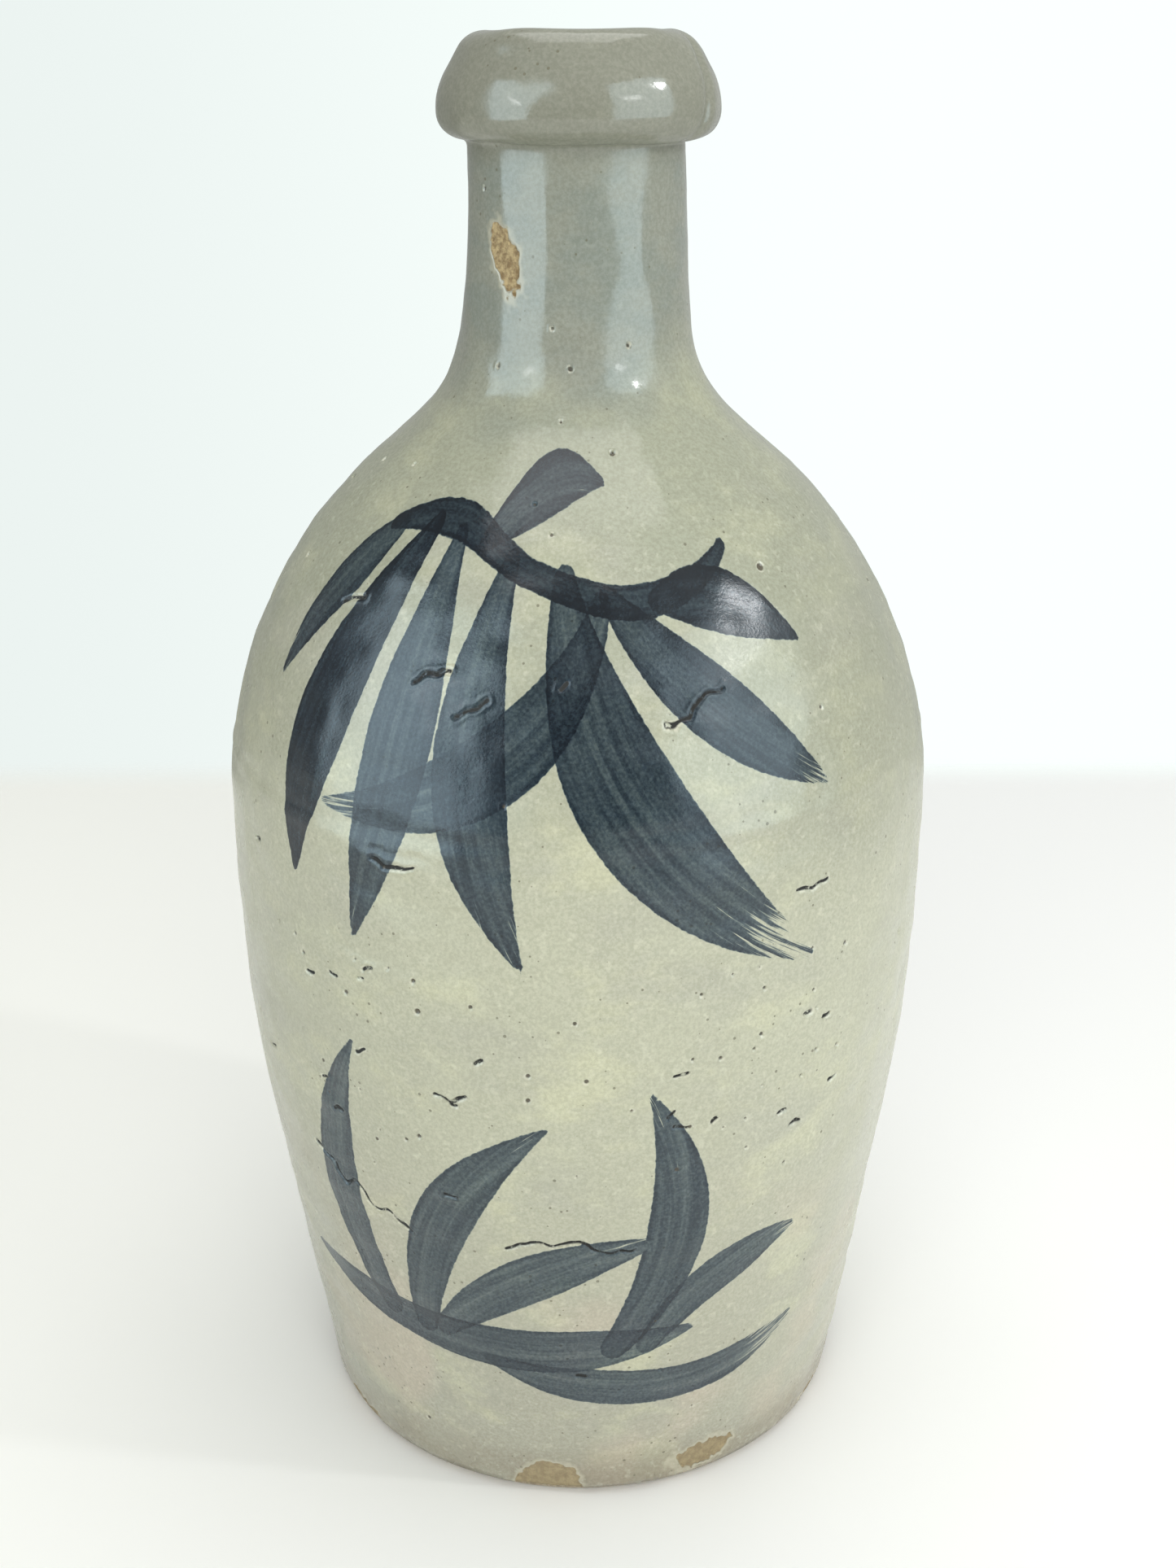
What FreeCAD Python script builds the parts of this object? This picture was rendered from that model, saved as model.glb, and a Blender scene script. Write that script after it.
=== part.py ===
"""Stoneware sake bottle of the loan-bottle kind, one sho (about 1.8 litres), in millimetres.

The bottle is built up the way a potter builds it. A clay disc is the base, and a lower wall, an upper
wall and a neck are thrown and luted onto it with slip. A collar is rolled round the top of the neck.
The outside is glazed over brushed pigment, which melts into the glaze, and the inside is glazed too.
After firing it is one piece.

The frame has +Z up, its origin at the centre of the foot, and the painted front towards -Y.
"""

import FreeCAD
import Part

import math
import os

# Overall size
HEIGHT = 280.0
FOOT_RADIUS = 57.0
BORE_RADIUS = 13.9

# Outside of the walls and neck, from the foot up; an arc is (radius, turn in degrees), left turns positive
TAPER = 8.1  # half angle of the conical lower wall
BELLY = (396.0, 10.6)
SHOULDER = (88.4, 46.3)
SHOULDER_FLAT = 12.6
NECK_ROOT = (26.8, -41.8)
NECK_CURVE_RADIUS = 260.0

# Collar round the mouth, from its underside up
COLLAR_FILLET = (1.0, -85.0)
COLLAR_UNDERSIDE = (4.7, 85.0)
COLLAR_FLANK = (14.0, 30.0)
COLLAR_SLOPE = 4.7
COLLAR_BROW = (5.0, 60.0)
MOUTH_ROUND = (1.8, 90.0)
COLLAR_INNER_RADIUS = 17.2

# Inside of the walls, which are thicker than the neck and thickest at the foot
SHOULDER_THICKENING = 1.5
INNER_TAPER = 8.8
FLOOR = 9.0
FLOOR_CORNER = 10.0

# Foot
GLAZE_LINE = 2.0  # the foot is bare below this height
FOOT_BEVEL = 1.5
RECESS_RADIUS = 44.0
RECESS_DEPTH = 1.2
RECESS_BEVEL = 2.5

# Glaze, slip and the joints between the clay sections
OUTER_GLAZE = 0.5
INNER_GLAZE = 0.35
SLIP = 0.4
BASE_SEAM = 11.0
BELLY_SEAM = 152.0
NECK_SEAM = 225.0
RIDGE_HEIGHT = 1.6  # each joint is cut with a low ridge that keys the two sections
RIDGE_HALF_WIDTH = 2.0

# Brush strokes, each from its start to its tip: degrees round from the front, height, half width
BAMBOO_SPRAY = {
    "twig": [(-45, 199, 1.2), (-27, 201, 2.8), (-8, 194, 2.2), (12, 190, 2.6), (33, 197, 0.9)],
    "leaf_far_left": [(-42, 199, 1.6), (-49, 191, 4.8), (-58, 172, 0.5)],
    "leaf_left": [(-33, 200, 2.0), (-43, 172, 7.4), (-47, 139, 0.6)],
    "leaf_inner_left": [(-26, 199, 1.8), (-28, 168, 7.0), (-35, 130, 0.5)],
    "leaf_crossing": [(5, 190, 2.0), (-13, 164, 6.6), (-41, 154, 0.6)],
    "leaf_middle": [(-13, 196, 2.0), (-16, 162, 7.0), (-8, 129, 0.5)],
    "leaf_sweep": [(-2, 193, 2.8), (8, 159, 9.6), (36, 126, 1.6)],
    "leaf_right": [(6, 191, 1.8), (23, 173, 6.2), (41, 157, 0.5)],
    "leaf_far_right": [(15, 190, 1.6), (28, 189, 5.2), (42, 181, 0.5)],
    "leaf_raised": [(-20, 198, 1.4), (-9, 206, 4.8), (8, 207, 0.5)],
}
RIVER_REEDS = {
    "ripple_upper": [(-58, 47, 0.8), (-34, 42, 4.4), (-4, 41, 5.6), (20, 45, 0.8)],
    "ripple_lower": [(-18, 38, 0.8), (5, 31, 4.8), (26, 31, 4.2), (43, 38, 0.6)],
    "reed_left": [(-37, 44, 3.2), (-44, 74, 5.2), (-37, 107, 0.5)],
    "reed_bent": [(-29, 43, 3.0), (-23, 71, 6.0), (-5, 96, 0.6)],
    "reed_low": [(-25, 43, 2.4), (-8, 60, 5.6), (14, 69, 0.5)],
    "reed_right": [(6, 42, 3.0), (16, 70, 6.2), (11, 103, 0.5)],
    "reed_far_right": [(12, 42, 2.4), (25, 58, 4.8), (40, 63, 0.5)],
}

FAR = 120.0  # beyond every wall
STROKE_STEPS = 3  # places between two points of a stroke where its outline is set
TRIAL_CONE = 10  # first guess at the conical wall, before it is made to fit the height
UNROLL_RADIUS = 70.0  # the strokes keep their shape on a cylinder of about the belly's radius
ORIGIN = FreeCAD.Vector(0, 0, 0)
UP = FreeCAD.Vector(0, 0, 1)


class Outline:
    """Tangent lines and arcs in the half plane of radius and height, with the clay on the left hand.

    An inset moves the whole outline to its left, into the clay.
    """

    def __init__(self, radius, height, heading, inset):
        self.radius = radius
        self.height = height
        self.heading = heading
        self.inset = inset
        self.edges = []
        self.start = self.point()

    def point(self):
        angle = math.radians(self.heading)
        radius = self.radius - self.inset * math.sin(angle)
        height = self.height + self.inset * math.cos(angle)
        return FreeCAD.Vector(max(radius, 0.0), 0, height)

    def line(self, length):
        start = self.point()
        self.radius += length * math.cos(math.radians(self.heading))
        self.height += length * math.sin(math.radians(self.heading))
        self.edges.append(Part.LineSegment(start, self.point()).toShape())

    def arc(self, radius, turn):
        start = self.point()
        self.swing(radius, turn / 2)
        middle = self.point()
        self.swing(radius, turn / 2)
        self.edges.append(Part.Arc(start, middle, self.point()).toShape())

    def swing(self, radius, turn):
        side = math.copysign(radius, turn)
        before = math.radians(self.heading)
        after = math.radians(self.heading + turn)
        self.radius += side * (math.sin(after) - math.sin(before))
        self.height += side * (math.cos(before) - math.cos(after))
        self.heading += turn


def neck_curve():
    """The long arc that brings the neck upright."""
    lean = BELLY[1] + SHOULDER[1] + NECK_ROOT[1] - TAPER
    return NECK_CURVE_RADIUS, -lean


def outer_walls(cone, inset=0.0):
    """Outside from the glaze line to the top of the neck."""
    path = Outline(FOOT_RADIUS, GLAZE_LINE, 90 - TAPER, inset)
    path.line(cone)
    path.arc(*BELLY)
    path.arc(*SHOULDER)
    path.line(SHOULDER_FLAT)
    path.arc(*NECK_ROOT)
    path.arc(*neck_curve())
    return path


def add_collar(path):
    path.arc(*COLLAR_FILLET)
    path.arc(*COLLAR_UNDERSIDE)
    path.arc(*COLLAR_FLANK)
    path.line(COLLAR_SLOPE)
    path.arc(*COLLAR_BROW)


def cone_length():
    """Length of the conical wall that makes the bottle HEIGHT tall."""
    trial = outer_walls(TRIAL_CONE)
    add_collar(trial)
    return TRIAL_CONE + (HEIGHT - trial.height) / math.cos(math.radians(TAPER))


def outside(inset=0.0):
    """Outside from the glaze line over the collar to the edge of the bore."""
    path = outer_walls(cone_length(), inset)
    add_collar(path)
    path.line(path.radius - MOUTH_ROUND[0] - BORE_RADIUS)
    path.arc(*MOUTH_ROUND)
    return path


def inside(inset=0.0):
    """Inside from the edge of the bore to the middle of the floor."""
    neck = outer_walls(cone_length())
    neck_wall = neck.radius - BORE_RADIUS
    path = Outline(BORE_RADIUS, HEIGHT - MOUTH_ROUND[0], 270, inset)
    path.line(path.height - neck.height)
    for radius, turn in (neck_curve(), NECK_ROOT):
        path.arc(radius + neck_wall, -turn)
    path.line(SHOULDER_FLAT - SHOULDER_THICKENING)
    path.arc(SHOULDER[0] - neck_wall, -SHOULDER[1])
    path.arc(BELLY[0] - neck_wall, TAPER - INNER_TAPER - BELLY[1])
    corner_drop = FLOOR_CORNER * (1 - math.sin(math.radians(INNER_TAPER)))
    path.line((path.height - corner_drop - FLOOR) / math.cos(math.radians(INNER_TAPER)))
    path.arc(FLOOR_CORNER, INNER_TAPER - 90)
    path.line(path.radius)
    return path


def straight(start, end):
    return Part.LineSegment(start, end).toShape()


def chain(points):
    """Straight edges through (radius, height) points."""
    vectors = [FreeCAD.Vector(radius, 0, height) for radius, height in points]
    return [straight(*pair) for pair in zip(vectors, vectors[1:])]


def turned(edges):
    """Solid of revolution of a closed loop of edges."""
    wire = Part.Wire(Part.__sortEdges__(edges))
    return Part.Face(wire).revolve(ORIGIN, UP, 360)


def turned_loop(points):
    return turned(chain(points + points[:1]))


def outer_coat():
    skin = outside()
    face = outside(OUTER_GLAZE)
    rims = [straight(skin.start, face.start), straight(skin.point(), face.point())]
    return turned(skin.edges + face.edges + rims)


def inner_coat():
    skin = inside()
    face = inside(INNER_GLAZE)
    rims = [straight(skin.start, face.start), straight(skin.point(), face.point())]
    return turned(skin.edges + face.edges + rims)


def clay():
    """All the clay as one solid, before it is cut into its sections."""
    outer = outside(OUTER_GLAZE)
    inner = inside(INNER_GLAZE)
    foot = chain([
        (outer.start.x, outer.start.z),
        (outer.start.x, FOOT_BEVEL),
        (outer.start.x - FOOT_BEVEL, 0),
        (RECESS_RADIUS, 0),
        (RECESS_RADIUS - RECESS_BEVEL, RECESS_DEPTH),
        (0, RECESS_DEPTH),
        (0, inner.point().z),
    ])
    mouth = straight(outer.point(), inner.start)
    return turned(outer.edges + [mouth] + inner.edges + foot)


def radius_at(path, height):
    """Radius where a wall outline crosses a height."""
    level = straight(FreeCAD.Vector(0.1, 0, height), FreeCAD.Vector(FAR, 0, height))
    for edge in path.edges:
        distance, pairs, _ = edge.distToShape(level)
        if distance < 1e-6:
            return pairs[0][0].x
    raise ValueError(f"the outline doesn't reach {height}")


def joint_line(height, ridge_radius):
    """A level cut with the keying ridge in it, from the axis out."""
    return [
        (0, height),
        (ridge_radius - RIDGE_HALF_WIDTH, height),
        (ridge_radius, height + RIDGE_HEIGHT),
        (ridge_radius + RIDGE_HALF_WIDTH, height),
        (FAR, height),
    ]


def wall_sections():
    """Base, walls and neck with the slip between them, from the base up."""
    whole = clay()
    skin = outside()
    cavity = inside()
    joints = (
        ("base_disc", "base_slip", BASE_SEAM, FOOT_RADIUS - FLOOR_CORNER / 2),
        ("lower_wall", "belly_slip", BELLY_SEAM, None),
        ("upper_wall", "neck_slip", NECK_SEAM, None),
    )
    sections = {}
    below = [(0, -1), (FAR, -1)]
    for clay_name, slip_name, height, ridge_radius in joints:
        if ridge_radius is None:
            ridge_radius = (radius_at(skin, height) + radius_at(cavity, height)) / 2
        lower = joint_line(height, ridge_radius)
        upper = joint_line(height + SLIP, ridge_radius)
        sections[clay_name] = whole.common(turned_loop(below + lower[::-1]))
        sections[slip_name] = whole.common(turned_loop(lower + upper[::-1]))
        below = upper
    top = [(FAR, HEIGHT + 1), (0, HEIGHT + 1)]
    sections["neck_tube"] = whole.common(turned_loop(below + top))
    return sections


def above_ledge(radius, height):
    """Everything outside a radius and above a height."""
    return turned_loop([(radius, height), (FAR, height), (FAR, HEIGHT + 1), (radius, HEIGHT + 1)])


def split_collar(sections):
    """Part the collar and its slip from the top of the neck tube."""
    ledge = outer_walls(cone_length()).height
    neck = sections["neck_tube"]
    seat = above_ledge(COLLAR_INNER_RADIUS, ledge)
    roll = above_ledge(COLLAR_INNER_RADIUS + SLIP, ledge + SLIP)
    sections["neck_tube"] = neck.cut(seat)
    sections["collar"] = neck.common(roll)
    sections["collar_slip"] = neck.common(seat).cut(roll)


def eased(first, second, share):
    """Half width part of the way between two, full at the wide end and tapering evenly to the narrow one."""
    if second > first:
        return first + (second - first) * math.sin(math.pi / 2 * share)
    return second + (first - second) * math.cos(math.pi / 2 * share)


def stroke_outline(points):
    """Closed loop round a stroke in the unrolled plane of distance round the belly and height."""
    centres = [FreeCAD.Vector(math.radians(turn) * UNROLL_RADIUS, 0, height) for turn, height, _ in points]
    halves = [half for _, _, half in points]
    line = Part.BSplineCurve()
    line.interpolate(centres)
    knots = [line.parameter(centre) for centre in centres]
    places = [(knots[-1], halves[-1])]
    for first in range(len(points) - 1):
        for step in range(STROKE_STEPS):
            share = step / STROKE_STEPS
            knot = knots[first] + (knots[first + 1] - knots[first]) * share
            places.append((knot, eased(halves[first], halves[first + 1], share)))
    left = []
    right = []
    for knot, half in sorted(places):
        along = line.tangent(knot)[0]
        across = FreeCAD.Vector(-along.z, 0, along.x) * half
        left.append(line.value(knot) + across)
        right.append(line.value(knot) - across)
    start = centres[0] - line.tangent(knots[0])[0] * halves[0]
    tip = centres[-1] + line.tangent(knots[-1])[0] * halves[-1]
    return [start] + left + [tip] + right[::-1]


def stroke_face(skin, points):
    """A stroke as it is seen square on from the front, rounded at its start and pointed at its tip."""
    loop = []
    for spot in stroke_outline(points):
        across = radius_at(skin, spot.z) * math.sin(spot.x / UNROLL_RADIUS)
        loop.append(FreeCAD.Vector(across, 0, spot.z))
    edge = Part.BSplineCurve()
    edge.interpolate(Points=loop, PeriodicFlag=True)
    face = Part.Face(Part.Wire(edge.toShape()))
    if face.normalAt(0, 0).y > 0:
        face.reverse()
    return face


def stencil(strokes):
    """Block through the front wall with the outline of a whole motif, whose strokes all touch."""
    skin = outside()
    faces = [stroke_face(skin, points) for points in strokes.values()]
    merged = faces[0].multiFuse(faces[1:]).removeSplitter()
    return merged.extrude(FreeCAD.Vector(0, -FAR, 0))


def build():
    parts = wall_sections()
    split_collar(parts)
    coat = outer_coat()
    for name, strokes in (("bamboo_brushwork", BAMBOO_SPRAY), ("reed_brushwork", RIVER_REEDS)):
        motif = stencil(strokes)
        parts[name] = coat.common(motif)
        coat = coat.cut(motif)
    parts["outer_glaze"] = coat
    parts["inner_glaze"] = inner_coat()
    return parts


def litres_held(level):
    """Capacity up to a height."""
    cavity = inside()
    rim = cavity.start
    lid = [FreeCAD.Vector(0, 0, rim.z), FreeCAD.Vector(0, 0, FLOOR)]
    space = turned(cavity.edges + [straight(rim, lid[0]), straight(*lid)])
    below = Part.makeCylinder(FAR, level)
    return space.common(below).Volume / 1e6


def main():
    os.makedirs("parts", exist_ok=True)
    for name, shape in build().items():
        solids = Part.makeCompound(shape.Solids)
        solids.exportStep(f"parts/{name}.step")
        print(f"{name}: {len(solids.Solids)} solids, {solids.Volume / 1000:.2f} cm3, valid {solids.isValid()}")
    for level in (BELLY_SEAM, NECK_SEAM - 30, NECK_SEAM):
        print(f"holds {litres_held(level):.2f} litres up to {level:.0f} mm")


main()
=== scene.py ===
"""Looks of the stoneware sake bottle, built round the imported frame. Lengths are in millimetres until they
are put in a mesh, angles in degrees, and the front is towards -Y."""

import math

import bmesh
import bpy
import numpy as np
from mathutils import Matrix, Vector


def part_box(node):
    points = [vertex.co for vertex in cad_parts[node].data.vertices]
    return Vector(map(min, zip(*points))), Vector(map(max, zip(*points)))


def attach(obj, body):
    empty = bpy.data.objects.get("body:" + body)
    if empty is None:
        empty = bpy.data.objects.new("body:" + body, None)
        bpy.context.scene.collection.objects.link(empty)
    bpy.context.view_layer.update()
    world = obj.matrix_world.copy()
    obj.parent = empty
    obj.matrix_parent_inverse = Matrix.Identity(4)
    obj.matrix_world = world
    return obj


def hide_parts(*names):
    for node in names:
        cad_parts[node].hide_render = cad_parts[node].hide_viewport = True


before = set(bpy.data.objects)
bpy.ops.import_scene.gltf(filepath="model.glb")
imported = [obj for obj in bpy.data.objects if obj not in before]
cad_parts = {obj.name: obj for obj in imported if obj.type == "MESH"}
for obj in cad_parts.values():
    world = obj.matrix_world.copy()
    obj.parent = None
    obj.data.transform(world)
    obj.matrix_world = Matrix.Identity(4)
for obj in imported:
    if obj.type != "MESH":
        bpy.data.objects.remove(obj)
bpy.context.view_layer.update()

MM = 0.001

# Outline of the glazed outside, as in the frame: (length, 0) is a line and (radius, turn) an arc
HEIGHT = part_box("outer_glaze")[1][2] / MM
FOOT_RADIUS = 57.0
GLAZE_LINE = 2.0
TAPER = 8.1
WALLS = [(396.0, 10.6), (88.4, 46.3), (12.6, 0.0), (26.8, -41.8), (260.0, -7.0)]
COLLAR = [(1.0, -85.0), (4.7, 85.0), (14.0, 30.0), (4.7, 0.0), (5.0, 60.0)]
MOUTH_ROUND = (1.8, 90.0)
BORE_RADIUS = 13.9
COAT = 0.45  # thickness of the glaze coat, just under the frame's so that it stays clear of the clay

# Mesh of the glaze coat
COLUMNS = 340
RING_GAP = 1.3
COLLAR_RING_GAP = 0.55
LINING_RING_GAP = 4.0
FINE_CUTS = 3  # extra cuts of the faces round chips, cracks and pits
SAMPLE = 0.1

# Brush strokes, each from its start to its tip: degrees round from the front, height, half width
UNROLL_RADIUS = 70.0
STROKES = {
    "twig": [(-45, 199, 1.2), (-27, 201, 2.8), (-8, 194, 2.2), (12, 190, 2.6), (33, 197, 0.9)],
    "leaf_far_left": [(-42, 199, 1.6), (-49, 191, 4.8), (-58, 172, 0.5)],
    "leaf_left": [(-33, 200, 2.0), (-43, 172, 7.4), (-47, 139, 0.6)],
    "leaf_inner_left": [(-26, 199, 1.8), (-28, 168, 7.0), (-35, 130, 0.5)],
    "leaf_crossing": [(5, 190, 2.0), (-13, 164, 6.6), (-41, 154, 0.6)],
    "leaf_middle": [(-13, 196, 2.0), (-16, 162, 7.0), (-8, 129, 0.5)],
    "leaf_sweep": [(-2, 193, 2.8), (8, 159, 9.6), (36, 126, 1.6)],
    "leaf_right": [(6, 191, 1.8), (23, 173, 6.2), (41, 157, 0.5)],
    "leaf_far_right": [(15, 190, 1.6), (28, 189, 5.2), (42, 181, 0.5)],
    "leaf_raised": [(-20, 198, 1.4), (-9, 206, 4.8), (8, 207, 0.5)],
    "ripple_upper": [(-58, 47, 0.8), (-34, 42, 4.4), (-4, 41, 5.6), (20, 45, 0.8)],
    "ripple_lower": [(-18, 38, 0.8), (5, 31, 4.8), (26, 31, 4.2), (43, 38, 0.6)],
    "reed_left": [(-37, 44, 3.2), (-44, 74, 5.2), (-37, 107, 0.5)],
    "reed_bent": [(-29, 43, 3.0), (-23, 71, 6.0), (-5, 96, 0.6)],
    "reed_low": [(-25, 43, 2.4), (-8, 60, 5.6), (14, 69, 0.5)],
    "reed_right": [(6, 42, 3.0), (16, 70, 6.2), (11, 103, 0.5)],
    "reed_far_right": [(12, 42, 2.4), (25, 58, 4.8), (40, 63, 0.5)],
}
# Layers of ink, in which no two strokes meet; each stroke has its strength and how dry its tip is
LAYERS = [
    {"twig": (3.9, 0.3), "ripple_upper": (2.2, 0.4)},
    {"leaf_far_left": (2.9, 0.5), "leaf_inner_left": (2.9, 0.5), "leaf_sweep": (2.8, 1.0),
     "leaf_far_right": (4.2, 0.3), "reed_left": (2.2, 0.3), "reed_low": (2.0, 0.6),
     "reed_right": (2.4, 0.5)},
    {"leaf_left": (4.3, 0.2), "leaf_middle": (3.0, 0.6), "leaf_right": (3.3, 0.7),
     "leaf_raised": (3.1, 0.4), "reed_bent": (2.3, 0.4), "reed_far_right": (2.1, 0.7)},
    {"leaf_crossing": (2.7, 0.8), "ripple_lower": (2.0, 0.8)},
]

# How much of a lower stroke still counts where another one crosses it
OVERLAP = 0.3

# Flaws in the glaze: degrees round from the front and height; chips add half width, half height and tilt,
# and pits add their radius
CHIPS = [(-37.5, 242.3, 2.8, 6.2, 25.0), (-6.5, 1.0, 6.6, 7.0, 0.0), (26.0, 6.5, 6.5, 3.0, 12.0),
         (-59.0, 2.0, 9.0, 2.4, 0.0), (66.0, 2.0, 10.0, 2.0, 0.0), (141.0, 1.5, 5.0, 4.0, 0.0)]
PITS = [(40.0, 192.6, 0.75), (-54.0, 254.0, 0.35), (12.0, 211.0, 0.5), (-24.0, 118.0, 0.6)]
CRACKS = [
    [(-50, 78), (-46, 76), (-43, 72), (-40, 73), (-37, 69), (-33, 69), (-29, 66)],
    [(-12, 67), (-8, 70), (-4, 69), (0, 70), (4, 67), (9, 68)],
    [(14, 171), (18, 172), (20, 175), (24, 176)],
    [(-48, 186), (-46, 187), (-43, 187.5)],
    [(-27, 177), (-24, 179), (-21, 179)],
    [(-19, 172), (-17, 173.5), (-14, 175)],
    [(-22, 101), (-19.5, 100), (-17, 101.5)],
    [(34, 139), (37, 138), (40, 139)],
    [(-31, 146), (-27, 145), (-24, 146.5)],
    [(152, 90), (158, 93), (163, 91), (168, 94)],
    [(96, 128), (101, 130), (107, 129)],
]
CRACK_HALF_WIDTH = 0.36
SEED = 11
BELLY_SEAM = 152.0  # height at which the two thrown walls meet

# Table, in metres: its far edge, and how much of it fades away so that the horizon is soft
TABLE_HALF = 4.0
TABLE_BACK = 0.358
TABLE_FADE = 0.035


# ---------------------------------------------------------------- outline

def neck_lean():
    """Turn that brings the neck upright after the other arcs of the walls."""
    return TAPER - sum(turn for _, turn in WALLS[:-1])


def walk(moves, radius, height, heading):
    """Closely spaced points along tangent lines and arcs: distance, radius, height and heading."""
    rows = [(0.0, radius, height, heading)]
    distance = 0.0
    for reach, turn in moves:
        length = abs(math.radians(turn)) * reach if turn else reach
        steps = max(1, round(length / SAMPLE))
        half = turn / steps / 2
        chord = 2 * reach * math.sin(math.radians(abs(half))) if turn else length / steps
        for _ in range(steps):
            heading += half
            radius += chord * math.cos(math.radians(heading))
            height += chord * math.sin(math.radians(heading))
            heading += half
            distance += length / steps
            rows.append((distance, radius, height, heading))
    return np.array(rows)


def coat_outline():
    """Points round the outside, from the foot to the end of the mouth's round, and where the neck ends."""
    walls = WALLS[:-1] + [(WALLS[-1][0], neck_lean())]
    trial = walk(walls + COLLAR, FOOT_RADIUS, GLAZE_LINE, 90 - TAPER)
    cone = (HEIGHT - trial[-1, 2]) / math.cos(math.radians(TAPER))
    walls = [(cone, 0.0)] + walls
    brow = walk(walls + COLLAR, FOOT_RADIUS, GLAZE_LINE, 90 - TAPER)
    flat = brow[-1, 1] - MOUTH_ROUND[0] - BORE_RADIUS
    whole = walk(walls + COLLAR + [(flat, 0.0), MOUTH_ROUND], FOOT_RADIUS, GLAZE_LINE, 90 - TAPER)
    neck_end = walk(walls, FOOT_RADIUS, GLAZE_LINE, 90 - TAPER)[-1, 0]
    return whole, neck_end


OUTLINE, NECK_END = coat_outline()
WHOLE = OUTLINE[-1, 0]


def at(distance):
    """Radius, height and heading at distances along the outline."""
    return [np.interp(distance, OUTLINE[:, 0], OUTLINE[:, column]) for column in (1, 2, 3)]


def distance_at(height):
    """Distance along the outline of a height below the collar."""
    below = OUTLINE[OUTLINE[:, 0] <= NECK_END]
    return np.interp(height, below[:, 2], below[:, 0])


# ---------------------------------------------------------------- noise and shapes

def smooth(low, high, value):
    share = np.clip((value - low) / (high - low), 0, 1)
    return share * share * (3 - 2 * share)


def rumple(places, size, seed, waves=28):
    """Smooth random field of unit strength with lumps of about a size."""
    draw = np.random.default_rng(seed)
    direction = draw.normal(size=(waves, 3))
    direction /= np.linalg.norm(direction, axis=1)[:, None]
    pitch = 2 * math.pi / (size * draw.uniform(1.2, 2.6, waves))
    phase = draw.uniform(0, 2 * math.pi, waves)
    total = np.zeros(len(places))
    for way, rate, start in zip(direction, pitch, phase):
        total += np.sin(places @ way * rate + start)
    return total * math.sqrt(2 / waves)


def on_coat(turn, distance):
    """Places on the unworn coat."""
    radius, height, _ = at(distance)
    angle = np.radians(turn)
    return np.stack([radius * np.sin(angle), -radius * np.cos(angle), height], axis=1)


def local(turn, distance, centre):
    """Distances across and up from a spot on the coat given by degrees and height."""
    where = distance_at(centre[1])
    radius = at(where)[0]
    around = (turn - centre[0] + 180) % 360 - 180
    return np.radians(around) * radius, distance - where


# ---------------------------------------------------------------- flaws

def chip_depth(turn, distance, places):
    """Signed distance into the nearest chip."""
    ragged = 0.3 * rumple(places, 2.4, 21) + 0.2 * rumple(places, 0.9, 22)
    best = np.full(len(turn), -20.0)
    for degrees, height, half_width, half_height, tilt in CHIPS:
        across, up = local(turn, distance, (degrees, height))
        cos, sin = math.cos(math.radians(tilt)), math.sin(math.radians(tilt))
        along = across * cos + up * sin
        over = up * cos - across * sin
        ring = np.hypot(along / half_width, over / half_height)
        best = np.maximum(best, (1 - ring) * min(half_width, half_height) + ragged * np.minimum(ring, 1))
    return best


def segment_distance(across, up, first, second):
    way = np.array(second) - np.array(first)
    share = ((across - first[0]) * way[0] + (up - first[1]) * way[1]) / (way @ way)
    share = np.clip(share, 0, 1)
    return np.hypot(across - first[0] - share * way[0], up - first[1] - share * way[1])


def crack_depth(turn, distance, places):
    """Signed distance into the nearest crack or slit."""
    bend = 0.3 * rumple(places, 2.2, 31)
    best = np.full(len(turn), -20.0)
    for line in CRACKS + gouges():
        across, up = local(turn, distance, line[0])
        spots = []
        for degrees, height in line:
            radius = at(distance_at(line[0][1]))[0]
            spots.append((math.radians(degrees - line[0][0]) * radius,
                          distance_at(height) - distance_at(line[0][1])))
        near = np.hypot(across, up) < 60
        for first, second in zip(spots, spots[1:]):
            gap = segment_distance(across[near], up[near] + bend[near], first, second)
            best[near] = np.maximum(best[near], CRACK_HALF_WIDTH - gap)
    return best


def gouges():
    """Short slits where grit dragged under the potter's rib, mostly in a band between the motifs."""
    draw = np.random.default_rng(SEED)
    lines = []
    for index in range(34):
        if index < 18:
            degrees, height = draw.uniform(-48, 45), draw.uniform(88, 124)
        else:
            degrees, height = draw.uniform(-170, 170), draw.uniform(20, 205)
        length = draw.uniform(0.6, 2.4)
        lines.append([(degrees, height), (degrees + length, height + draw.uniform(0.0, 1.2))])
    return lines


def pit_spots():
    """The pits that are listed, and smaller ones scattered round the wall."""
    draw = np.random.default_rng(SEED + 1)
    spots = list(PITS)
    for index in range(120):
        if index < 36:
            degrees, height = draw.uniform(-55, 50), draw.uniform(80, 128)
        else:
            degrees, height = draw.uniform(-172, 172), draw.uniform(12, 232)
        spots.append((degrees, height, draw.uniform(0.22, 0.5)))
    return spots


def pit_depth(turn, distance):
    """Signed distance into the nearest pit."""
    best = np.full(len(turn), -20.0)
    for degrees, height, radius in pit_spots():
        across, up = local(turn, distance, (degrees, height))
        best = np.maximum(best, radius - np.hypot(across, up))
    return best


# ---------------------------------------------------------------- relief of the thrown wall

def throwing_rings(turn, height, places):
    """Low ridges left by the fingers, drifting in height round the wall."""
    climb = height + turn / 360 * 5 + 1.2 * rumple(places, 60, 41)
    swell = 0.6 + 0.4 * rumple(places, 45, 42)
    broad = np.sin(2 * math.pi * climb / 11.0) * 0.09
    narrow = np.sin(2 * math.pi * climb / 4.3 + 1.0) * 0.038
    return (broad + narrow) * swell


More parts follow.
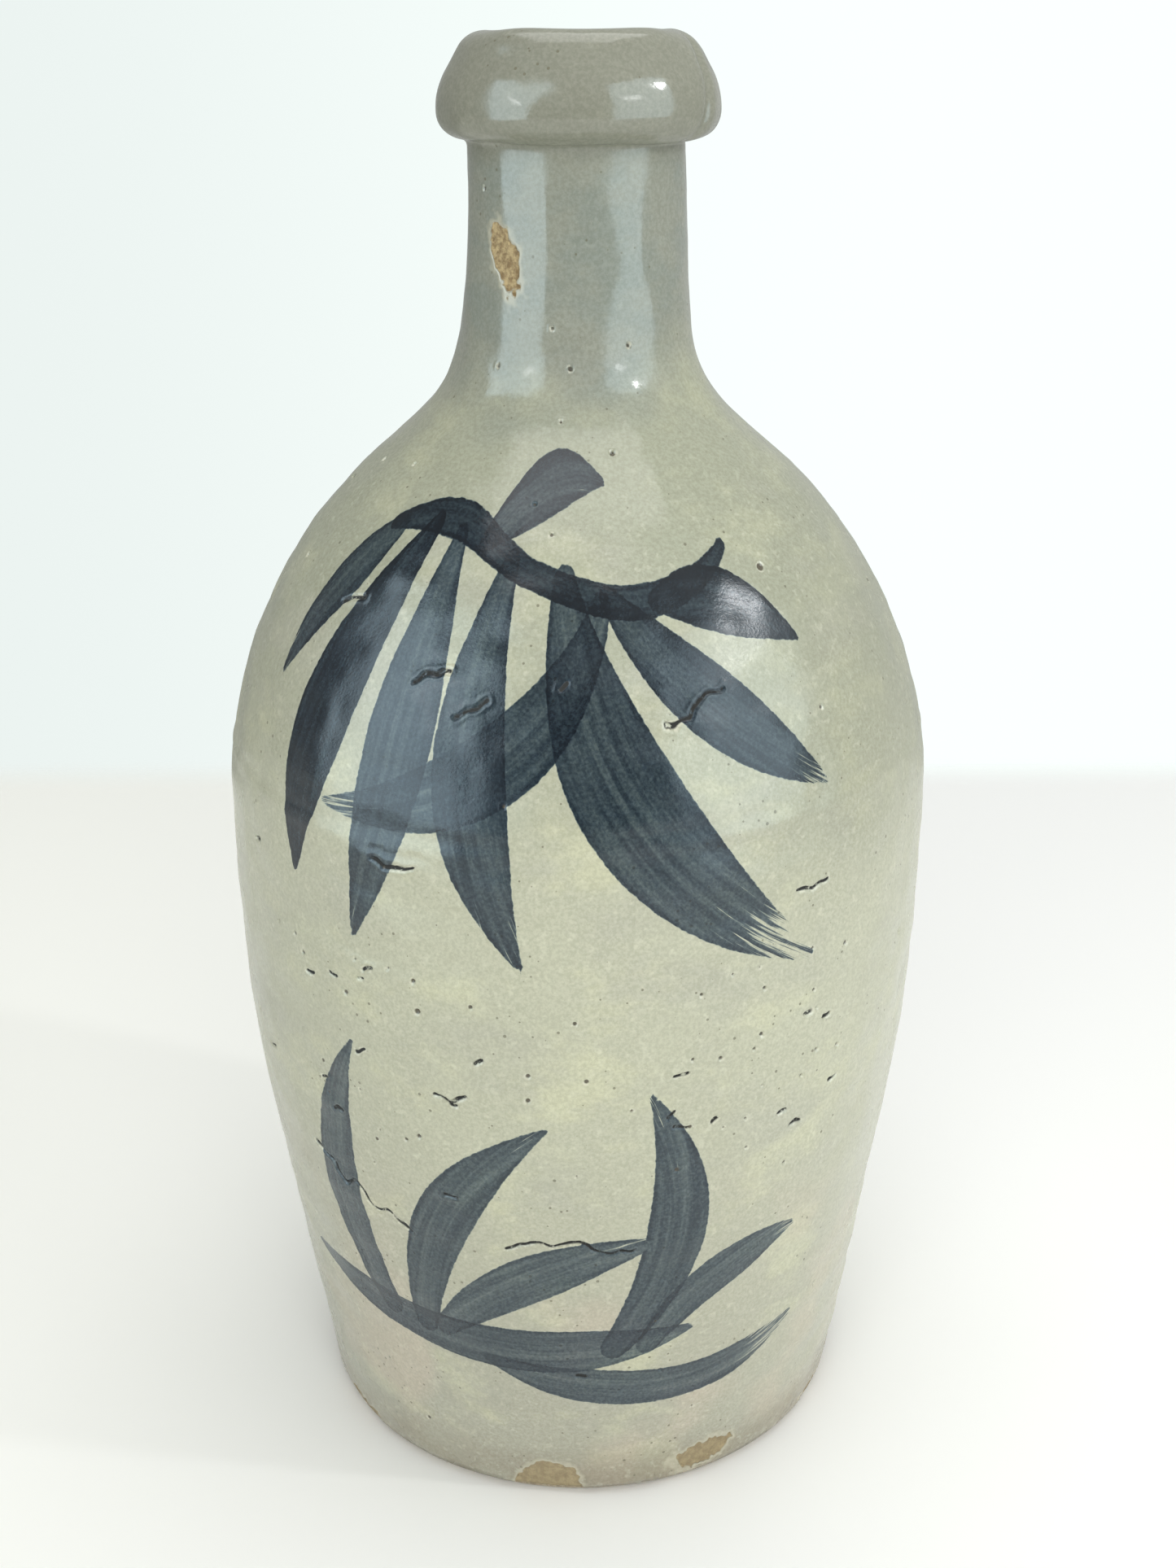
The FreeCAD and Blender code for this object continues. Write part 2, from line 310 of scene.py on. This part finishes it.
def belly_seam(turn, height):
    """Ridge where the two thrown walls were luted."""
    level = BELLY_SEAM + 2.2 * np.sin(np.radians(turn - 35)) + 0.8 * np.sin(np.radians(3 * turn))
    off = height - level
    return 0.17 * np.exp(-(off / 0.8) ** 2) - 0.09 * np.exp(-((off - 1.8) / 1.0) ** 2)


def collar_shape(turn, distance):
    """Lopsided roll of the collar, fuller on the right, with the crease of its overlap."""
    inside = smooth(NECK_END + 1.5, NECK_END + 6, distance) * (1 - smooth(WHOLE - 11, WHOLE - 5, distance))
    full = 1.0 * np.exp(-((turn - 84) / 26) ** 2) + 0.2 * np.exp(-((turn + 80) / 40) ** 2)
    slant = turn - 67 - (distance - NECK_END - 12) * 0.9
    crease = -0.95 * np.exp(-(slant / 2.8) ** 2) + 0.25 * np.exp(-((slant + 8) / 5) ** 2)
    return inside * (full + crease)


def neck_shift(turn, height):
    """The neck and collar stand a little to the right of the body."""
    rise = smooth(218, 245, height)
    return rise * 0.75 * np.maximum(np.sin(np.radians(turn)), 0)


def relief(turn, distance, places, flaws):
    """How far the glaze stands out from the even outline."""
    _, height, heading = at(distance)
    outward = np.maximum(np.sin(np.radians(heading)), 0)
    edges = smooth(0, 5, distance) * (1 - smooth(WHOLE - 4.5, WHOLE - 1, distance))
    dents = 0.16 * rumple(places, 38, 51) + 0.07 * rumple(places, 15, 52)
    on_neck = smooth(206, 226, height)
    lumps = on_neck * 0.10 * rumple(places * np.array([1, 1, 0.6]), 9, 53)
    body = (throwing_rings(turn, height, places) + belly_seam(turn, height)) * (1 - 0.6 * on_neck)
    drop = 0.28 * np.exp(-((distance - 1.6) / 1.1) ** 2) * (0.7 + 0.5 * rumple(places, 9, 54))
    lean = outward * (collar_shape(turn, distance) + neck_shift(turn, height))
    even = edges * (dents + lumps + body + lean) + drop
    even = np.maximum(even, -0.3)
    chip, crack, pit = flaws.T
    rough = 0.07 * rumple(places, 0.9, 55) + 0.05 * rumple(places, 0.5, 56)
    floor = -0.42 + np.abs(rough)
    worn = even + (floor - even) * smooth(-0.1, 0.35, chip)
    groove = smooth(-0.25, 0.3, crack)
    lifted = 0.09 * np.exp(-((crack + 0.55) / 0.35) ** 2)
    worn = worn + lifted - groove * (worn + 0.4)
    hole = smooth(-0.3, 0.25, pit)
    rim = 0.05 * np.exp(-((pit + 0.4) / 0.25) ** 2)
    return worn + rim - hole * (worn + 0.38)


# ---------------------------------------------------------------- ink

def eased(first, second, share):
    """Half width part of the way between two, full at the wide end and tapering evenly to the narrow one."""
    if second > first:
        return first + (second - first) * np.sin(math.pi / 2 * share)
    return second + (first - second) * np.cos(math.pi / 2 * share)


def stroke_line(points):
    """Places along a stroke in the unrolled plane: across, height, half width and share of the length."""
    knots = np.array([(math.radians(turn) * UNROLL_RADIUS, height) for turn, height, _ in points])
    gaps = np.hypot(*np.diff(knots, axis=0).T)
    lengths = np.concatenate([[0], np.cumsum(gaps)])
    slopes = np.gradient(knots, lengths, axis=0, edge_order=2)
    rows = []
    for index, gap in enumerate(gaps):
        share = np.linspace(0, 1, int(gap / 0.6) + 2)[:, None]
        place = ((1 + 2 * share) * (1 - share) ** 2 * knots[index]
                 + share * (1 - share) ** 2 * gap * slopes[index]
                 + share ** 2 * (3 - 2 * share) * knots[index + 1]
                 + share ** 2 * (share - 1) * gap * slopes[index + 1])
        half = eased(points[index][2], points[index + 1][2], share)
        rows.append(np.hstack([place, half, (lengths[index] + share * gap) / lengths[-1]]))
    return np.vstack(rows), lengths[-1]


def ink_layer(layer, across, height):
    """For each spot: distance into the ink, distances along and across the stroke, and the ink's strength;
    then the share of the stroke's length and how dry its tip is."""
    count = len(across)
    ink = np.tile((-20.0, 0.0, 0.0, 0.0), (count, 1))
    tip = np.zeros((count, 3))
    for name, (strength, dryness) in layer.items():
        line, length = stroke_line(STROKES[name])
        reach = line[:, 2].max() + 6
        low, high = line[:, :2].min(0) - reach, line[:, :2].max(0) + reach
        near = (across > low[0]) & (across < high[0]) & (height > low[1]) & (height < high[1])
        index = np.flatnonzero(near)
        offset_x = across[index, None] - line[None, :, 0]
        offset_y = height[index, None] - line[None, :, 1]
        inside = line[None, :, 2] - np.hypot(offset_x, offset_y)
        nearest = inside.argmax(axis=1)
        depth = inside[np.arange(len(index)), nearest]
        way = np.gradient(line[:, :2], axis=0)
        way /= np.maximum(np.linalg.norm(way, axis=1)[:, None], 1e-6)
        side = (offset_x[np.arange(len(index)), nearest] * way[nearest, 1]
                - offset_y[np.arange(len(index)), nearest] * way[nearest, 0])
        better = depth > ink[index, 0]
        chosen = index[better]
        share = line[nearest, 3][better]
        ink[chosen, 0] = depth[better]
        ink[chosen, 1] = share * length
        ink[chosen, 2] = side[better]
        ink[chosen, 3] = strength
        tip[chosen, 0] = share
        tip[chosen, 1] = dryness
    return ink, tip


# ---------------------------------------------------------------- mesh of the coat

def ring_places():
    """Distance along the outline and depth under the surface of each ring, round the coat's section."""
    body = np.linspace(0, NECK_END, round(NECK_END / RING_GAP) + 1)
    collar = np.linspace(NECK_END, WHOLE, round((WHOLE - NECK_END) / COLLAR_RING_GAP) + 1)[1:]
    outer = np.concatenate([body, collar])
    inner_body = np.linspace(0, NECK_END, round(NECK_END / LINING_RING_GAP) + 1)
    inner_collar = np.linspace(NECK_END, WHOLE, round((WHOLE - NECK_END) / 1.5) + 1)[1:]
    inner = np.concatenate([inner_body, inner_collar])[::-1]
    distance = np.concatenate([outer, inner])
    depth = np.concatenate([np.zeros(len(outer)), np.full(len(inner), COAT)])
    return distance, depth


def grid_mesh(distance, depth):
    """Closed tube of quads with the turn, distance and depth of each vertex as layers."""
    turns = (np.arange(COLUMNS) / COLUMNS * 360 + 0.5 * 360 / COLUMNS) - 180
    rings = len(distance)
    index = np.arange(rings * COLUMNS).reshape(rings, COLUMNS)
    ahead = np.roll(index, -1, axis=1)
    faces = np.stack([index, ahead, np.roll(ahead, -1, axis=0), np.roll(index, -1, axis=0)], axis=-1)
    mesh = bpy.data.meshes.new("glaze_coat")
    mesh.from_pydata(np.zeros((rings * COLUMNS, 3)), [], faces.reshape(-1, 4))
    values = {"turn": np.tile(turns, rings), "distance": np.repeat(distance, COLUMNS),
              "depth": np.repeat(depth, COLUMNS)}
    for name, value in values.items():
        mesh.attributes.new(name, "FLOAT", "POINT").data.foreach_set("value", value.astype(np.float32))
    return mesh


def read_layer(mesh, name):
    values = np.empty(len(mesh.vertices), np.float32)
    mesh.attributes[name].data.foreach_get("value", values)
    return values.astype(float)


def flaws_at(turn, distance):
    places = on_coat(turn, distance)
    return np.stack([chip_depth(turn, distance, places), crack_depth(turn, distance, places),
                     pit_depth(turn, distance)], axis=1)


def refine(mesh):
    """Cut the faces round the flaws finer."""
    turn, distance, depth = (read_layer(mesh, name) for name in ("turn", "distance", "depth"))
    flaws = flaws_at(turn, distance)
    near = (flaws > np.array([-2.0, -1.4, -1.2])).any(axis=1) & (depth == 0) & (np.abs(turn) < 178)
    work = bmesh.new()
    work.from_mesh(mesh)
    work.verts.ensure_lookup_table()
    edges = set()
    for face in work.faces:
        corners = [vert.index for vert in face.verts]
        if not depth[corners].any() and near[corners].any():
            edges.update(face.edges)
    bmesh.ops.subdivide_edges(work, edges=list(edges), cuts=FINE_CUTS, use_grid_fill=True)
    work.to_mesh(mesh)
    work.free()


def write_attribute(mesh, name, kind, field, values):
    layer = mesh.attributes.new(name, kind, "POINT")
    layer.data.foreach_set(field, np.ascontiguousarray(values, np.float32).ravel())


def make_coat():
    mesh = grid_mesh(*ring_places())
    refine(mesh)
    turn, distance, depth = (read_layer(mesh, name) for name in ("turn", "distance", "depth"))
    radius, height, heading = at(distance)
    flaws = flaws_at(turn, distance)
    places = on_coat(turn, distance)
    out = np.where(depth > 0, -depth, relief(turn, distance, places, flaws))
    angle, slope = np.radians(turn), np.radians(heading)
    reach = radius + out * np.sin(slope)
    rise = height - out * np.cos(slope)
    spots = np.stack([reach * np.sin(angle), -reach * np.cos(angle), rise], axis=1) * MM
    mesh.vertices.foreach_set("co", spots.astype(np.float32).ravel())
    write_attribute(mesh, "flaws", "FLOAT_VECTOR", "vector", flaws)
    for number, layer in enumerate(LAYERS):
        ink, tip = ink_layer(layer, angle * UNROLL_RADIUS, height)
        write_attribute(mesh, f"ink_{number}", "FLOAT_COLOR", "color", ink)
        write_attribute(mesh, f"tip_{number}", "FLOAT_VECTOR", "vector", tip)
    for name in ("turn", "distance", "depth"):
        mesh.attributes.remove(mesh.attributes[name])
    mesh.polygons.foreach_set("use_smooth", np.ones(len(mesh.polygons), bool))
    mesh.update()
    coat = bpy.data.objects.new("glaze_coat", mesh)
    bpy.context.scene.collection.objects.link(coat)
    return coat


# ---------------------------------------------------------------- materials

class Shader:
    """A node material with one Principled BSDF, and short ways to add nodes to it."""

    def __init__(self, name):
        self.material = bpy.data.materials.new(name)
        self.material.use_nodes = True
        self.tree = self.material.node_tree
        self.surface = self.tree.nodes["Principled BSDF"]

    def add(self, kind, inputs=(), output=0, **settings):
        node = self.tree.nodes.new("ShaderNode" + kind)
        for key, value in settings.items():
            setattr(node, key, value)
        for key, value in dict(inputs).items():
            self.feed(node.inputs[key], value)
        return node.outputs[output]

    def feed(self, socket, value):
        if isinstance(value, bpy.types.NodeSocket):
            self.tree.links.new(value, socket)
        else:
            socket.default_value = value

    def set(self, **inputs):
        for name, value in inputs.items():
            self.feed(self.surface.inputs[name.replace("_", " ").title().replace("Ior", "IOR")], value)

    def maths(self, operation, *values, clamp=False):
        return self.add("Math", enumerate(values), operation=operation, use_clamp=clamp)

    def ramp(self, value, low, high, start=0.0, end=1.0):
        inputs = {"Value": value, "From Min": low, "From Max": high, "To Min": start, "To Max": end}
        return self.add("MapRange", inputs, interpolation_type="SMOOTHSTEP")

    def mix(self, share, first, second, blend="MIX"):
        inputs = {0: share, 6: first, 7: second}
        return self.add("Mix", inputs, output=2, data_type="RGBA", blend_type=blend)

    def noise(self, vector, size, detail=2.0, roughness=0.5, stretch=(1, 1, 1)):
        scaled = self.add("VectorMath", {0: vector, 1: stretch}, operation="MULTIPLY")
        inputs = {"Vector": scaled, "Scale": 1 / size, "Detail": detail, "Roughness": roughness}
        return self.add("TexNoise", inputs)

    def bump(self, height, distance, strength=1.0, normal=None):
        inputs = {"Strength": strength, "Distance": distance, "Height": height}
        if normal:
            inputs["Normal"] = normal
        return self.add("Bump", inputs)


def rgb(red, green, blue):
    return (red, green, blue, 1.0)


def object_places(shader):
    return shader.add("TexCoord", output="Object")


def split(shader, vector):
    node = shader.add("SeparateXYZ", {0: vector}).node
    return node.outputs


def glaze_colour(shader, places):
    """Grey on the neck, cream and green-grey clouds on the body, warmer towards the foot; with painted shade
    at the foot, on the left, on the upper right and on the collar, and painted light on the belly and the
    lower right.
    """
    across, _, up = split(shader, places)
    drift = shader.maths("SUBTRACT", shader.noise(places, 0.045, detail=3.0), 0.5)
    level = shader.maths("MULTIPLY_ADD", drift, 0.05, up)
    # Darker towards the foot and on the shoulder, brighter on the belly between: painted shade at the foot
    # under the light from above, and painted light thrown up from the table on the belly.
    body = shader.mix(shader.ramp(level, 0.01, 0.12), rgb(0.45, 0.44, 0.35), rgb(0.54, 0.545, 0.415))
    body = shader.mix(shader.ramp(level, 0.130, 0.200), body, rgb(0.40, 0.415, 0.315))
    clouds = shader.noise(places, 0.020, detail=4.0, roughness=0.6, stretch=(1, 1, 1.6))
    pale = shader.maths("MULTIPLY", shader.ramp(clouds, 0.50, 0.68, end=0.6),
                        shader.ramp(level, 0.14, 0.19, start=1.0, end=0.55))
    body = shader.mix(pale, body, rgb(0.65, 0.65, 0.45))
    shade = shader.noise(places, 0.028, detail=4.0, roughness=0.6, stretch=(0.8, 0.8, 1.5))
    body = shader.mix(shader.ramp(shade, 0.50, 0.70, end=0.6), body, rgb(0.47, 0.47, 0.385))
    blush = shader.noise(places, 0.030, detail=2.0)
    low = shader.ramp(level, 0.03, 0.09, start=1.0, end=0.0)
    blush = shader.maths("MULTIPLY", shader.ramp(blush, 0.52, 0.68, end=0.5), low)
    body = shader.mix(blush, body, rgb(0.64, 0.54, 0.43))
    neck = shader.mix(shader.ramp(clouds, 0.4, 0.6), rgb(0.285, 0.315, 0.275), rgb(0.325, 0.34, 0.285))
    below = shader.ramp(level, 0.11, 0.17, start=1.0, end=0.0)
    # Painted shade on the left side of the body below the shoulder, where less light falls.
    left = shader.maths("MULTIPLY", shader.ramp(across, -0.065, -0.02, start=0.35, end=0.0), below)
    body = shader.mix(left, body, rgb(0.42, 0.43, 0.34))
    # Painted shade on the upper right of the body and painted light on its lower right.
    right = shader.ramp(across, 0.015, 0.065, end=0.45)
    body = shader.mix(right, body, shader.mix(below, rgb(0.30, 0.31, 0.235), rgb(0.62, 0.63, 0.49)))
    # Darker band at the foot: dust, and painted shade where less light reaches the foot.
    dust_and_painted_shade = shader.maths("MULTIPLY", shader.ramp(up, 0.002, 0.018, start=1.0, end=0.0),
                        shader.ramp(clouds, 0.35, 0.60, start=0.3, end=0.85))
    body = shader.mix(dust_and_painted_shade, body, rgb(0.31, 0.27, 0.20))
    # Painted shade on the collar, which is made darker and warmer than the neck.
    neck = shader.mix(shader.ramp(up, 0.256, 0.263), neck, rgb(0.28, 0.285, 0.23))
    return shader.mix(shader.ramp(level, 0.217, 0.232), body, neck)


def speckled(shader, places, colour):
    """Fine grain and specks of iron under the glaze."""
    grain = shader.noise(places, 0.0007, detail=3.0, roughness=0.7)
    colour = shader.mix(shader.ramp(grain, 0.35, 0.65), colour, rgb(0.84, 0.84, 0.82), "MULTIPLY")
    light = shader.noise(places, 0.0016, detail=2.0, roughness=0.6)
    below_neck = shader.ramp(split(shader, places)[2], 0.19, 0.22, start=0.22, end=0.05)
    light = shader.maths("MULTIPLY", shader.ramp(light, 0.56, 0.72), below_neck)
    colour = shader.mix(light, colour, rgb(0.78, 0.78, 0.62))
    specks = shader.add("TexVoronoi", {"Vector": places, "Scale": 430.0, "Randomness": 1.0})
    seed = shader.noise(places, 0.010, detail=1.0)
    size = shader.ramp(seed, 0.40, 0.70, start=0.03, end=0.14)
    speck = shader.ramp(shader.maths("SUBTRACT", size, specks), -0.02, 0.03, end=0.75)
    return shader.mix(speck, colour, rgb(0.16, 0.15, 0.10))


def ink_density(shader, number, places):
    """Optical depth of one layer of strokes, with the bristles' streaks and a ragged dry tip."""
    ink = shader.add("Attribute", attribute_name=f"ink_{number}", output="Color").node
    depth, along, across = split(shader, ink.outputs["Color"])[:3]
    strength = ink.outputs["Alpha"]
    tip = shader.add("Attribute", attribute_name=f"tip_{number}", output="Vector")
    share, dryness, _ = split(shader, tip)
    stretched = shader.add("CombineXYZ", {0: shader.maths("MULTIPLY", along, 0.035), 1: across, 2: strength})
    bristles = shader.add("TexNoise", {"Vector": stretched, "Scale": 1.9, "Detail": 3.0, "Roughness": 0.65})
    broad = shader.add("TexNoise", {"Vector": stretched, "Scale": 0.45, "Detail": 2.0})
    ragged = shader.noise(places, 0.0012, detail=2.0)
    edge = shader.maths("MULTIPLY_ADD", shader.maths("SUBTRACT", ragged, 0.5), 0.5, depth)
    covered = shader.ramp(edge, -0.12, 0.16)
    streaks = shader.ramp(bristles, 0.30, 0.70, start=0.88, end=1.08)
    swell = shader.ramp(broad, 0.3, 0.7, start=0.75, end=1.15)
    pooled = shader.ramp(depth, 0.0, 1.3, start=1.28, end=1.0)
    dry = shader.maths("MULTIPLY", shader.ramp(share, 0.55, 1.0), dryness)
    kept = shader.ramp(shader.maths("SUBTRACT", bristles, shader.maths("MULTIPLY", dry, 0.42)), 0.12, 0.22)
    total = shader.maths("MULTIPLY", covered, strength)
    for factor in (streaks, swell, pooled, kept):
        total = shader.maths("MULTIPLY", total, factor)
    return total


def inked(shader, colour, places):
    """Colour of the glaze over the brushed pigment, which soaks up red most."""
    total = deepest = ink_density(shader, 0, places)
    for number in range(1, len(LAYERS)):
        density = ink_density(shader, number, places)
        total = shader.maths("ADD", total, density)
        deepest = shader.maths("MAXIMUM", deepest, density)
    total = shader.add("Mix", {0: OVERLAP, 2: deepest, 3: total}, data_type="FLOAT")
    grain = shader.noise(places, 0.0006, detail=2.0, roughness=0.6)
    total = shader.maths("MULTIPLY", total, shader.ramp(grain, 0.3, 0.7, start=0.82, end=1.15))
    total = shader.maths("MINIMUM", total, 5.0)
    passed = [shader.maths("POWER", math.exp(-rate), total) for rate in (1.02, 0.86, 0.68)]
    film = shader.add("CombineColor", enumerate(passed))
    return shader.mix(1.0, colour, film, "MULTIPLY")


def glaze_material():
    shader = Shader("glaze")
    places = object_places(shader)
    chip, crack, pit = split(shader, shader.add("Attribute", attribute_name="flaws", output="Vector"))
    colour = speckled(shader, places, glaze_colour(shader, places))
    lip = shader.maths("MAXIMUM", shader.ramp(pit, -0.50, -0.12), shader.ramp(crack, -0.50, -0.10))
    broken = shader.ramp(shader.noise(places, 0.0008, detail=1.0), 0.42, 0.60, end=0.55)
    colour = shader.mix(shader.maths("MULTIPLY", lip, broken), colour, rgb(0.74, 0.73, 0.60))
    colour = inked(shader, colour, places)
    halo = shader.maths("MULTIPLY", shader.ramp(chip, -1.3, -0.1), 0.45)
    colour = shader.mix(halo, colour, rgb(0.66, 0.62, 0.47))
    dirt = shader.noise(places, 0.0012, detail=3.0, roughness=0.7)
    up = split(shader, places)[2]
    clay = shader.mix(shader.ramp(dirt, 0.35, 0.65), rgb(0.25, 0.17, 0.075), rgb(0.54, 0.42, 0.22))
    clay = shader.mix(shader.ramp(up, 0.01, 0.03, start=0.65, end=0.0), clay, rgb(0.33, 0.27, 0.165))
    bare = shader.ramp(chip, -0.05, 0.12)
    colour = shader.mix(bare, colour, clay)
    slit = shader.maths("MULTIPLY", shader.ramp(crack, -0.12, 0.12), shader.ramp(dirt, 0.28, 0.5))
    colour = shader.mix(slit, colour, rgb(0.018, 0.016, 0.013))
    hole = shader.ramp(pit, -0.10, 0.15, end=0.9)
    colour = shader.mix(hole, colour, rgb(0.07, 0.055, 0.035))
    rough = shader.ramp(shader.noise(places, 0.012, detail=3.0), 0.35, 0.65, start=0.0, end=0.07)
    rough = shader.maths("ADD", rough, shader.ramp(up, 0.185, 0.215, start=0.22, end=0.11))
    rough = shader.maths("MAXIMUM", rough, shader.maths("MULTIPLY", bare, 0.85))
    rough = shader.maths("MAXIMUM", rough, shader.maths("MULTIPLY", slit, 0.85))
    peel = shader.noise(places, 0.0022, detail=2.0)
    fine = shader.noise(places, 0.0005, detail=2.0, roughness=0.6)
    lumps = shader.noise(places, 0.013, detail=1.0)
    normal = shader.bump(lumps, 0.0012, 1.0)
    normal = shader.bump(peel, 0.00006, 0.6, normal)
    normal = shader.bump(fine, shader.ramp(up, 0.185, 0.215, start=0.00005, end=0.00002), 0.6, normal)
    crumbs = shader.noise(places, 0.0009, detail=4.0, roughness=0.7)
    crumbs = shader.maths("MULTIPLY", crumbs, bare)
    normal = shader.bump(crumbs, 0.0004, 0.9, normal)
    shader.set(base_color=colour, roughness=rough, normal=normal, ior=1.52)
    return shader.material


def clay_material():
    shader = Shader("bare_clay")
    places = object_places(shader)
    patch = shader.noise(places, 0.009, detail=4.0, roughness=0.6)
    colour = shader.mix(shader.ramp(patch, 0.35, 0.65), rgb(0.36, 0.29, 0.19), rgb(0.52, 0.45, 0.33))
    grit = shader.noise(places, 0.0008, detail=4.0, roughness=0.75)
    colour = shader.mix(shader.ramp(grit, 0.36, 0.6, start=0.6, end=0.0), colour, rgb(0.13, 0.10, 0.06))
    normal = shader.bump(grit, 0.0003, 0.8)
    shader.set(base_color=colour, roughness=0.85, normal=normal)
    return shader.material


def slip_material():
    shader = Shader("fired_slip")
    places = object_places(shader)
    patch = shader.noise(places, 0.004, detail=4.0, roughness=0.6)
    colour = shader.mix(shader.ramp(patch, 0.35, 0.65), rgb(0.30, 0.24, 0.16), rgb(0.42, 0.35, 0.25))
    shader.set(base_color=colour, roughness=0.8, normal=shader.bump(patch, 0.0003, 0.6))
    return shader.material


def inner_glaze_material():
    shader = Shader("inner_glaze_brown")
    places = object_places(shader)
    patch = shader.noise(places, 0.018, detail=4.0, roughness=0.6, stretch=(1, 1, 2))
    colour = shader.mix(shader.ramp(patch, 0.35, 0.65), rgb(0.26, 0.24, 0.18), rgb(0.38, 0.37, 0.29))
    grain = shader.noise(places, 0.0008, detail=3.0, roughness=0.7)
    colour = shader.mix(shader.ramp(grain, 0.35, 0.65), colour, rgb(0.7, 0.7, 0.68), "MULTIPLY")
    normal = shader.bump(shader.noise(places, 0.003, detail=2.0), 0.00012, 0.6)
    shader.set(base_color=colour, roughness=0.22, normal=normal)
    return shader.material


def table_material():
    """White table that fades into the backdrop at its far edge."""
    shader = Shader("table_white")
    across, away, _ = split(shader, object_places(shader))
    # Painted shade: the table is a little darker and warmer towards the left.
    colour = shader.mix(shader.ramp(across, -0.25, 0.15), rgb(0.93, 0.93, 0.885), rgb(0.96, 0.96, 0.95))
    fade = shader.ramp(away, TABLE_BACK - TABLE_FADE, TABLE_BACK, start=1.0, end=0.0)
    shader.set(base_color=colour, roughness=0.7, alpha=fade)
    return shader.material


def dress(node, material):
    mesh = bpy.data.objects[node].data
    mesh.materials.clear()
    mesh.materials.append(material)


def make_bottle():
    coat = make_coat()
    coat.data.materials.append(glaze_material())
    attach(coat, "root")
    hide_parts("outer_glaze", "bamboo_brushwork", "reed_brushwork")
    clay = clay_material()
    for node in ("base_disc", "lower_wall", "upper_wall", "neck_tube", "collar"):
        dress(node, clay)
    slip = slip_material()
    for node in ("base_slip", "belly_slip", "neck_slip", "collar_slip"):
        dress(node, slip)
    dress("inner_glaze", inner_glaze_material())


# ---------------------------------------------------------------- stage

def make_table():
    mesh = bpy.data.meshes.new("table_top")
    near, far = -TABLE_HALF, TABLE_BACK
    corners = [(-TABLE_HALF, near, 0), (TABLE_HALF, near, 0), (TABLE_HALF, far, 0), (-TABLE_HALF, far, 0)]
    mesh.from_pydata(corners, [], [(0, 1, 2, 3)])
    mesh.materials.append(table_material())
    table = bpy.data.objects.new("table_top", mesh)
    bpy.context.scene.collection.objects.link(table)


def panel(name, place, width, height, power, tint=(1.0, 1.0, 1.0), diffuse=True, glossy=True):
    light = bpy.data.lights.new(name, "AREA")
    light.shape = "RECTANGLE"
    light.size = width
    light.size_y = height
    light.energy = power
    light.color = tint
    lamp = bpy.data.objects.new(name, light)
    lamp.location = place
    lamp.rotation_euler = (Vector((0, 0, 0.15)) - Vector(place)).to_track_quat("-Z", "Y").to_euler()
    lamp.visible_camera = False
    lamp.visible_diffuse = diffuse
    lamp.visible_glossy = glossy
    bpy.context.scene.collection.objects.link(lamp)


def make_lights():
    """Windows and tubes that show only as reflections, and a room, a ceiling and a lamp for the light."""
    daylight = (0.80, 1.02, 1.14)
    panel("window_left", (-0.79, -0.53, 0.44), 0.95, 1.02, 10.2, daylight, diffuse=False)
    panel("window_right", (0.78, -0.55, 0.44), 0.80, 1.02, 6.1, daylight, diffuse=False)
    panel("tube_left", (-0.70, -0.58, 0.62), 0.26, 0.04, 0.30, diffuse=False)
    panel("tube_right", (0.70, -0.62, 0.62), 0.26, 0.04, 0.30, diffuse=False)
    panel("room_front", (-0.05, -1.25, 0.95), 1.4, 1.0, 12.0, glossy=False)
    panel("ceiling", (0.0, 0.1, 1.5), 1.2, 1.2, 8.5)
    panel("lamp_right", (0.92, -0.30, 0.84), 0.05, 0.05, 1.6)


def make_world():
    """Room that is darker towards the camera and on the left, with a pale backdrop for the camera alone."""
    world = bpy.data.worlds.new("room")
    bpy.context.scene.world = world
    world.use_nodes = True
    tree = world.node_tree
    coordinates = tree.nodes.new("ShaderNodeTexCoord")
    parts = tree.nodes.new("ShaderNodeSeparateXYZ")
    tree.links.new(coordinates.outputs["Generated"], parts.inputs[0])

    def ramp(axis, low, high, start, end):
        node = tree.nodes.new("ShaderNodeMapRange")
        node.interpolation_type = "SMOOTHSTEP"
        for name, value in zip(("From Min", "From Max", "To Min", "To Max"), (low, high, start, end)):
            node.inputs[name].default_value = value
        tree.links.new(parts.outputs[axis], node.inputs["Value"])
        return node.outputs["Result"]

    room = tree.nodes["Background"]
    room.inputs["Color"].default_value = rgb(0.97, 1.0, 0.96)
    both = tree.nodes.new("ShaderNodeMath")
    both.operation = "MULTIPLY"
    tree.links.new(ramp("Y", -0.95, -0.55, 0.30, 1.0), both.inputs[0])
    tree.links.new(ramp("X", -0.8, 0.7, 0.30, 0.62), both.inputs[1])
    tree.links.new(both.outputs[0], room.inputs["Strength"])

    backdrop = tree.nodes.new("ShaderNodeBackground")
    backdrop.inputs["Color"].default_value = rgb(0.93, 1.0, 0.975)
    tree.links.new(ramp("X", -0.34, 0.20, 0.90, 1.05), backdrop.inputs["Strength"])
    rays = tree.nodes.new("ShaderNodeLightPath")
    mixed = tree.nodes.new("ShaderNodeMixShader")
    tree.links.new(rays.outputs["Is Camera Ray"], mixed.inputs[0])
    tree.links.new(room.outputs[0], mixed.inputs[1])
    tree.links.new(backdrop.outputs[0], mixed.inputs[2])
    tree.links.new(mixed.outputs[0], tree.nodes["World Output"].inputs["Surface"])


def make_camera():
    """Looks down on the bottle from in front, a little above its shoulder."""
    camera = bpy.data.cameras.new("camera")
    camera.sensor_width = 36.0
    camera.lens = 41.96
    camera.clip_start = 0.01
    eye = bpy.data.objects.new("camera", camera)
    eye.location = (0.0026, -0.3503, 0.2796)
    eye.rotation_mode = "XYZ"
    eye.rotation_euler = (math.radians(90 - 22.38), math.radians(0.25), 0)
    bpy.context.scene.collection.objects.link(eye)
    bpy.context.scene.camera = eye


make_bottle()
make_table()
make_lights()
make_world()
make_camera()
bpy.context.scene.view_settings.view_transform = "Standard"
